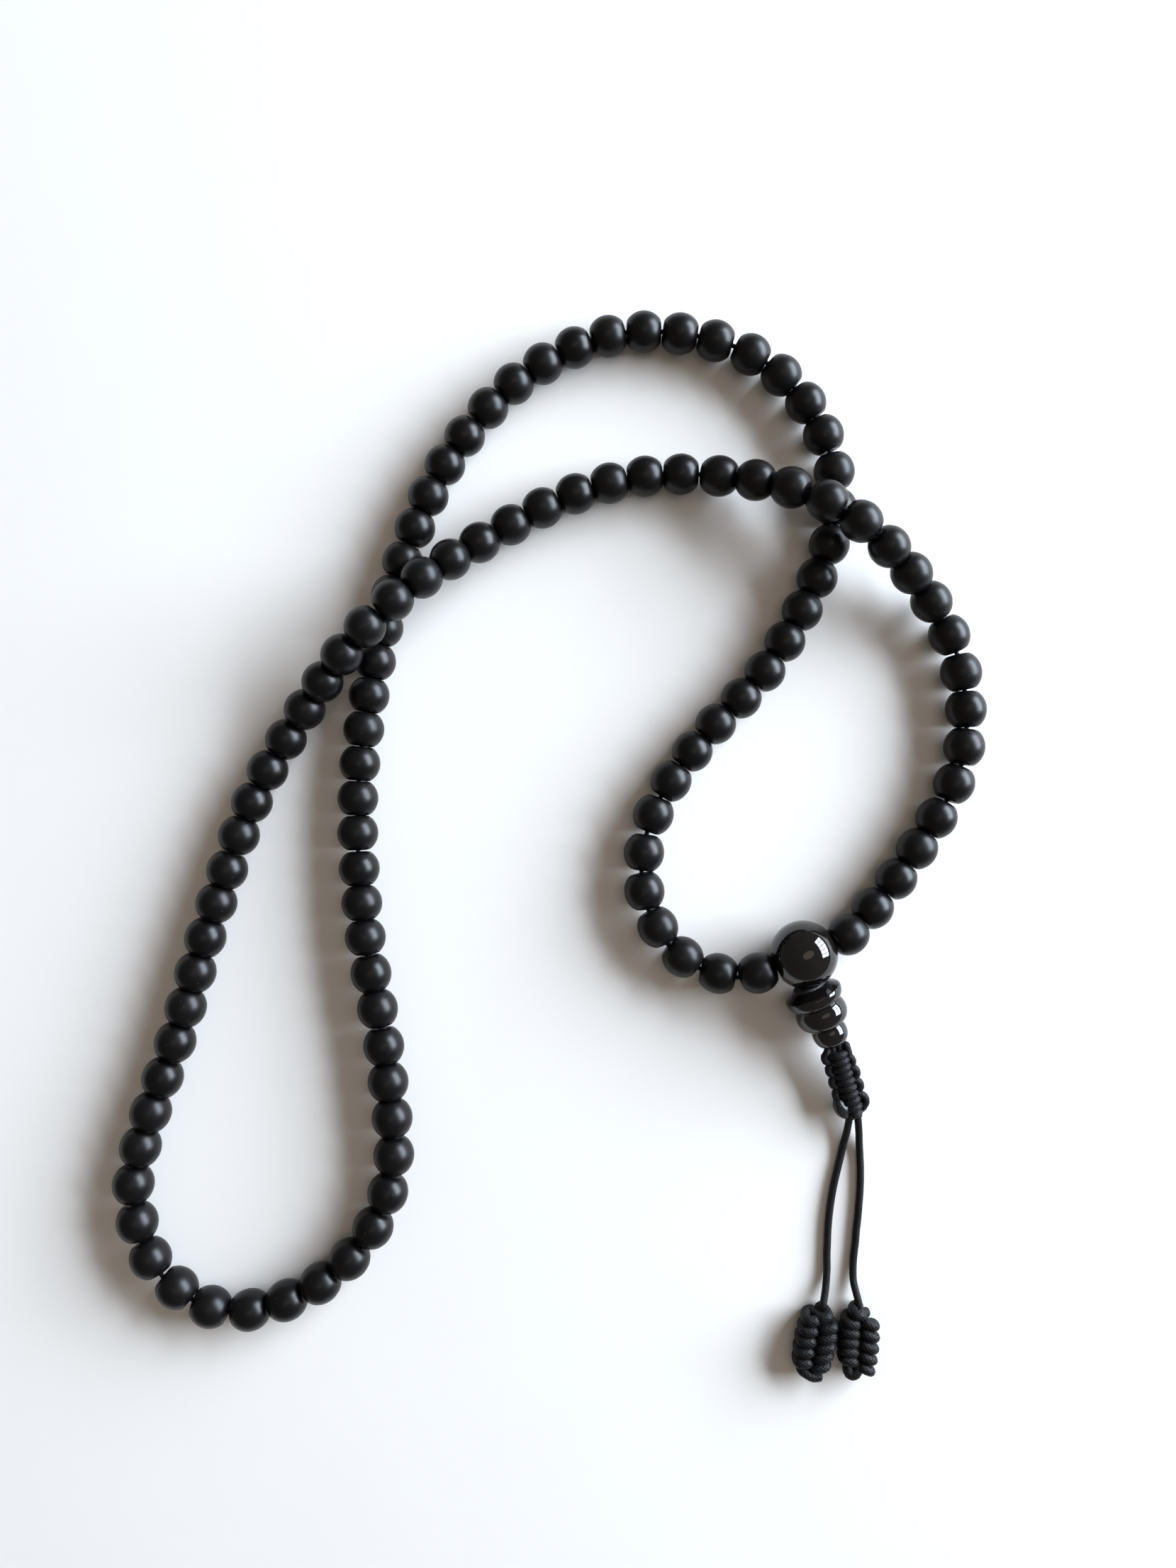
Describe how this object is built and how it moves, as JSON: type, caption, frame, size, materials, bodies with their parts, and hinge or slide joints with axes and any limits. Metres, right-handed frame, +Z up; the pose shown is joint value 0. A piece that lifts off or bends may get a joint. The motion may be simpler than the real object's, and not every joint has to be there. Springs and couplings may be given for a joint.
{
  "type": "mala prayer beads",
  "caption": "String of small matt black prayer beads lying in three lobes, closed by a polished guru bead with its tower, macrame knot and two knotted tails.",
  "frame": {"origin": "middle of the loop of beads, on the surface it lies on", "axes": "+X to the right as it lies with the pendant at the near side, +Y away from the pendant, +Z up off the surface"},
  "size_m": [0.1725, 0.2117, 0.0165],
  "materials": {
    "matt_bead": "matt",
    "polished_bead": "polished",
    "braided_cord": "braided"
  },
  "bodies": {
    "strand_base": {"beads_020_025": "matt_bead", "beads_026_030": "matt_bead", "beads_031_036": "matt_bead", "beads_066_070": "matt_bead", "beads_071_074": "matt_bead", "stringing_cord": "braided_cord"},
    "guru_lobe_base": {"bead_007": "matt_bead"},
    "guru_lobe_end": {"bead_003": "matt_bead"},
    "left_lobe_base": {"beads_037_042": "matt_bead", "beads_061_065": "matt_bead"},
    "left_lobe_middle": {"beads_043_048": "matt_bead", "beads_055_060": "matt_bead"},
    "left_lobe_end": {"beads_049_054": "matt_bead"},
    "top_lobe_base": {"beads_075_078": "matt_bead", "beads_087_089": "matt_bead"},
    "top_lobe_end": {"beads_079_082": "matt_bead", "beads_083_086": "matt_bead"},
    "guru": {"guru_bead": "polished_bead"},
    "tower": {"tower_bead": "polished_bead"},
    "macrame": {"macrame_knot": "braided_cord"},
    "tail_left": {"tail_cord_left": "braided_cord", "end_knot_left": "braided_cord"},
    "tail_right": {"tail_cord_right": "braided_cord", "end_knot_right": "braided_cord"},
    "spin_001": {"bead_001": "matt_bead"},
    "spin_002": {"bead_002": "matt_bead"},
    "spin_004": {"bead_004": "matt_bead"},
    "spin_005": {"bead_005": "matt_bead"},
    "spin_006": {"bead_006": "matt_bead"},
    "spin_008": {"bead_008": "matt_bead"},
    "spin_009": {"bead_009": "matt_bead"},
    "spin_010": {"bead_010": "matt_bead"},
    "spin_011": {"bead_011": "matt_bead"},
    "spin_012": {"bead_012": "matt_bead"},
    "spin_013": {"bead_013": "matt_bead"},
    "spin_014": {"bead_014": "matt_bead"},
    "spin_015": {"bead_015": "matt_bead"},
    "spin_016": {"bead_016": "matt_bead"},
    "spin_017": {"bead_017": "matt_bead"},
    "spin_018": {"bead_018": "matt_bead"},
    "spin_019": {"bead_019": "matt_bead"},
    "spin_090": {"bead_090": "matt_bead"},
    "spin_091": {"bead_091": "matt_bead"},
    "spin_092": {"bead_092": "matt_bead"},
    "spin_093": {"bead_093": "matt_bead"},
    "spin_094": {"bead_094": "matt_bead"},
    "spin_095": {"bead_095": "matt_bead"},
    "spin_096": {"bead_096": "matt_bead"},
    "spin_097": {"bead_097": "matt_bead"},
    "spin_098": {"bead_098": "matt_bead"},
    "spin_099": {"bead_099": "matt_bead"},
    "spin_100": {"bead_100": "matt_bead"},
    "spin_101": {"bead_101": "matt_bead"},
    "spin_102": {"bead_102": "matt_bead"},
    "spin_103": {"bead_103": "matt_bead"},
    "spin_104": {"bead_104": "matt_bead"},
    "spin_105": {"bead_105": "matt_bead"},
    "spin_106": {"bead_106": "matt_bead"},
    "spin_107": {"bead_107": "matt_bead"},
    "spin_108": {"bead_108": "matt_bead"}
  },
  "joints": [
    {"name": "guru_lobe_lift", "type": "hinge", "parent": "strand_base", "child": "guru_lobe_base", "pos_m": [0.05767, 0.02754, 0.00396], "axis": [-0.969, -0.2472, 0.0017], "range_deg": [0, 15], "deforming": ["stringing_cord"]},
    {"name": "guru_lobe_fold_end", "type": "hinge", "parent": "guru_lobe_base", "child": "guru_lobe_end", "pos_m": [0.04859, 0.00085, 0.004], "axis": [-0.9944, -0.1055, 0], "range_deg": [0, 15], "deforming": ["stringing_cord"]},
    {"name": "left_lobe_lift", "type": "hinge", "parent": "strand_base", "child": "left_lobe_base", "pos_m": [-0.0504, -0.00616, 0.004], "axis": [-1, 0.0088, 0], "range_deg": [0, 15], "deforming": ["stringing_cord"]},
    {"name": "left_lobe_fold_middle", "type": "hinge", "parent": "left_lobe_base", "child": "left_lobe_middle", "pos_m": [-0.05441, -0.04407, 0.004], "axis": [-0.9904, -0.1379, 0], "range_deg": [0, 15], "deforming": ["stringing_cord"]},
    {"name": "left_lobe_fold_end", "type": "hinge", "parent": "left_lobe_middle", "child": "left_lobe_end", "pos_m": [-0.05726, -0.08672, 0.004], "axis": [-0.9906, -0.1366, 0], "range_deg": [0, 15], "deforming": ["stringing_cord"]},
    {"name": "top_lobe_lift", "type": "hinge", "parent": "strand_base", "child": "top_lobe_base", "pos_m": [0.01349, 0.06358, 0.004], "axis": [0.9761, 0.2171, 0], "range_deg": [0, 15], "deforming": ["stringing_cord"]},
    {"name": "top_lobe_fold_end", "type": "hinge", "parent": "top_lobe_base", "child": "top_lobe_end", "pos_m": [0.01049, 0.08631, 0.004], "axis": [0.9586, 0.2849, 0], "range_deg": [0, 15], "deforming": ["stringing_cord"]},
    {"name": "pendant_swing", "type": "hinge", "parent": "guru_lobe_end", "child": "guru", "pos_m": [0.0495, -0.026, 0.0066], "axis": [-0.9135, -0.4067, 0], "range_deg": [0, 60], "deforming": ["stringing_cord"]},
    {"name": "macrame_bend", "type": "hinge", "parent": "guru", "child": "macrame", "pos_m": [0.05598, -0.04415, 0.00618], "axis": [-0.9563, -0.2924, 0], "range_deg": [0, 30], "deforming": ["stringing_cord"]},
    {"name": "tail_left_swing", "type": "hinge", "parent": "macrame", "child": "tail_left", "pos_m": [0.05845, -0.0596, 0.0023], "axis": [0, 0, 1], "range_deg": [-35, 0]},
    {"name": "tail_right_swing", "type": "hinge", "parent": "macrame", "child": "tail_right", "pos_m": [0.06195, -0.0596, 0.0023], "axis": [0, 0, 1], "range_deg": [0, 35]},
    {"name": "turn_bead_001", "type": "hinge", "parent": "guru_lobe_end", "child": "spin_001", "pos_m": [0.05843, -0.02205, 0.00613], "axis": [0.7868, 0.5785, -0.2152], "continuous": true},
    {"name": "turn_bead_002", "type": "hinge", "parent": "guru_lobe_end", "child": "spin_002", "pos_m": [0.06365, -0.01709, 0.00426], "axis": [0.6565, 0.7351, -0.1693], "continuous": true},
    {"name": "turn_bead_004", "type": "hinge", "parent": "guru_lobe_end", "child": "spin_004", "pos_m": [0.0724, -0.00539, 0.004], "axis": [0.5463, 0.8376, 0], "continuous": true},
    {"name": "turn_bead_005", "type": "hinge", "parent": "guru_lobe_end", "child": "spin_005", "pos_m": [0.07623, 0.00068, 0.004], "axis": [0.5088, 0.8609, 0], "continuous": true},
    {"name": "turn_bead_006", "type": "hinge", "parent": "guru_lobe_base", "child": "spin_006", "pos_m": [0.07971, 0.00751, 0.004], "axis": [0.3796, 0.9251, 0], "continuous": true},
    {"name": "turn_bead_008", "type": "hinge", "parent": "guru_lobe_base", "child": "spin_008", "pos_m": [0.08198, 0.02214, 0.004], "axis": [-0.0482, 0.9988, 0], "continuous": true},
    {"name": "turn_bead_009", "type": "hinge", "parent": "guru_lobe_base", "child": "spin_009", "pos_m": [0.08103, 0.02945, 0.004], "axis": [-0.2103, 0.9776, 0], "continuous": true},
    {"name": "turn_bead_010", "type": "hinge", "parent": "strand_base", "child": "spin_010", "pos_m": [0.07862, 0.03686, 0.00405], "axis": [-0.4218, 0.9044, 0.0645], "continuous": true},
    {"name": "turn_bead_011", "type": "hinge", "parent": "strand_base", "child": "spin_011", "pos_m": [0.07467, 0.04317, 0.00553], "axis": [-0.586, 0.7537, 0.2976], "continuous": true},
    {"name": "turn_bead_012", "type": "hinge", "parent": "strand_base", "child": "spin_012", "pos_m": [0.07009, 0.04831, 0.0081], "axis": [-0.6546, 0.6549, 0.3776], "continuous": true},
    {"name": "turn_bead_013", "type": "hinge", "parent": "strand_base", "child": "spin_013", "pos_m": [0.06512, 0.0529, 0.01072], "axis": [-0.7175, 0.619, 0.3193], "continuous": true},
    {"name": "turn_bead_014", "type": "hinge", "parent": "strand_base", "child": "spin_014", "pos_m": [0.05937, 0.05735, 0.01243], "axis": [-0.8172, 0.5655, 0.1117], "continuous": true},
    {"name": "turn_bead_015", "type": "hinge", "parent": "strand_base", "child": "spin_015", "pos_m": [0.05293, 0.0613, 0.01219], "axis": [-0.8675, 0.467, -0.1712], "continuous": true},
    {"name": "turn_bead_016", "type": "hinge", "parent": "strand_base", "child": "spin_016", "pos_m": [0.04643, 0.06433, 0.01016], "axis": [-0.8733, 0.3438, -0.3452], "continuous": true},
    {"name": "turn_bead_017", "type": "hinge", "parent": "strand_base", "child": "spin_017", "pos_m": [0.04, 0.06645, 0.00746], "axis": [-0.8965, 0.2412, -0.3716], "continuous": true},
    {"name": "turn_bead_018", "type": "hinge", "parent": "strand_base", "child": "spin_018", "pos_m": [0.0332, 0.06787, 0.00504], "axis": [-0.9556, 0.1437, -0.2573], "continuous": true},
    {"name": "turn_bead_019", "type": "hinge", "parent": "strand_base", "child": "spin_019", "pos_m": [0.02576, 0.0685, 0.004], "axis": [-0.9998, 0.0131, -0.0148], "continuous": true},
    {"name": "turn_bead_090", "type": "hinge", "parent": "top_lobe_base", "child": "spin_090", "pos_m": [0.05377, 0.07639, 0.004], "axis": [0.3923, -0.9199, 0], "continuous": true},
    {"name": "turn_bead_091", "type": "hinge", "parent": "strand_base", "child": "spin_091", "pos_m": [0.05596, 0.06913, 0.004], "axis": [0.1833, -0.9831, 0], "continuous": true},
    {"name": "turn_bead_092", "type": "hinge", "parent": "strand_base", "child": "spin_092", "pos_m": [0.05645, 0.06186, 0.004], "axis": [-0.0657, -0.9978, 0], "continuous": true},
    {"name": "turn_bead_093", "type": "hinge", "parent": "strand_base", "child": "spin_093", "pos_m": [0.05504, 0.05473, 0.004], "axis": [-0.2921, -0.9564, 0], "continuous": true},
    {"name": "turn_bead_094", "type": "hinge", "parent": "strand_base", "child": "spin_094", "pos_m": [0.05265, 0.04811, 0.004], "axis": [-0.3753, -0.9269, 0], "continuous": true},
    {"name": "turn_bead_095", "type": "hinge", "parent": "strand_base", "child": "spin_095", "pos_m": [0.04972, 0.04171, 0.004], "axis": [-0.4525, -0.8918, 0], "continuous": true},
    {"name": "turn_bead_096", "type": "hinge", "parent": "strand_base", "child": "spin_096", "pos_m": [0.04632, 0.03558, 0.004], "axis": [-0.5173, -0.8558, 0], "continuous": true},
    {"name": "turn_bead_097", "type": "hinge", "parent": "strand_base", "child": "spin_097", "pos_m": [0.04241, 0.02969, 0.004], "axis": [-0.6019, -0.7986, 0], "continuous": true},
    {"name": "turn_bead_098", "type": "hinge", "parent": "strand_base", "child": "spin_098", "pos_m": [0.03771, 0.02436, 0.004], "axis": [-0.6975, -0.7166, 0], "continuous": true},
    {"name": "turn_bead_099", "type": "hinge", "parent": "guru_lobe_base", "child": "spin_099", "pos_m": [0.03262, 0.01922, 0.004], "axis": [-0.6948, -0.7193, 0], "continuous": true},
    {"name": "turn_bead_100", "type": "hinge", "parent": "guru_lobe_base", "child": "spin_100", "pos_m": [0.028, 0.01383, 0.004], "axis": [-0.5995, -0.8004, 0], "continuous": true},
    {"name": "turn_bead_101", "type": "hinge", "parent": "guru_lobe_base", "child": "spin_101", "pos_m": [0.02381, 0.00796, 0.004], "axis": [-0.5473, -0.837, 0], "continuous": true},
    {"name": "turn_bead_102", "type": "hinge", "parent": "guru_lobe_base", "child": "spin_102", "pos_m": [0.02032, 0.00139, 0.004], "axis": [-0.3569, -0.9342, 0], "continuous": true},
    {"name": "turn_bead_103", "type": "hinge", "parent": "guru_lobe_end", "child": "spin_103", "pos_m": [0.01841, -0.00617, 0.004], "axis": [-0.1361, -0.9907, 0], "continuous": true},
    {"name": "turn_bead_104", "type": "hinge", "parent": "guru_lobe_end", "child": "spin_104", "pos_m": [0.01845, -0.01373, 0.004], "axis": [0.1789, -0.9839, 0], "continuous": true},
    {"name": "turn_bead_105", "type": "hinge", "parent": "guru_lobe_end", "child": "spin_105", "pos_m": [0.02107, -0.02086, 0.004], "axis": [0.4833, -0.8755, 0], "continuous": true},
    {"name": "turn_bead_106", "type": "hinge", "parent": "guru_lobe_end", "child": "spin_106", "pos_m": [0.02594, -0.02678, 0.004], "axis": [0.7928, -0.6095, 0], "continuous": true},
    {"name": "turn_bead_107", "type": "hinge", "parent": "guru_lobe_end", "child": "spin_107", "pos_m": [0.0329, -0.03007, 0.00419], "axis": [0.9624, -0.2287, 0.1466], "continuous": true},
    {"name": "turn_bead_108", "type": "hinge", "parent": "guru_lobe_end", "child": "spin_108", "pos_m": [0.04044, -0.02976, 0.00613], "axis": [0.9324, 0.2905, 0.2151], "continuous": true},
    {"name": "turn_tower", "type": "hinge", "parent": "guru", "child": "tower", "pos_m": [0.05316, -0.03765, 0.00532], "axis": [0.4045, -0.9085, -0.1045], "continuous": true}
  ],
  "couplings": [
    {"joint": "guru_lobe_fold_end", "follows": "guru_lobe_lift", "ratio": 1},
    {"joint": "left_lobe_fold_middle", "follows": "left_lobe_lift", "ratio": 1},
    {"joint": "left_lobe_fold_end", "follows": "left_lobe_lift", "ratio": 1},
    {"joint": "top_lobe_fold_end", "follows": "top_lobe_lift", "ratio": 1}
  ]
}
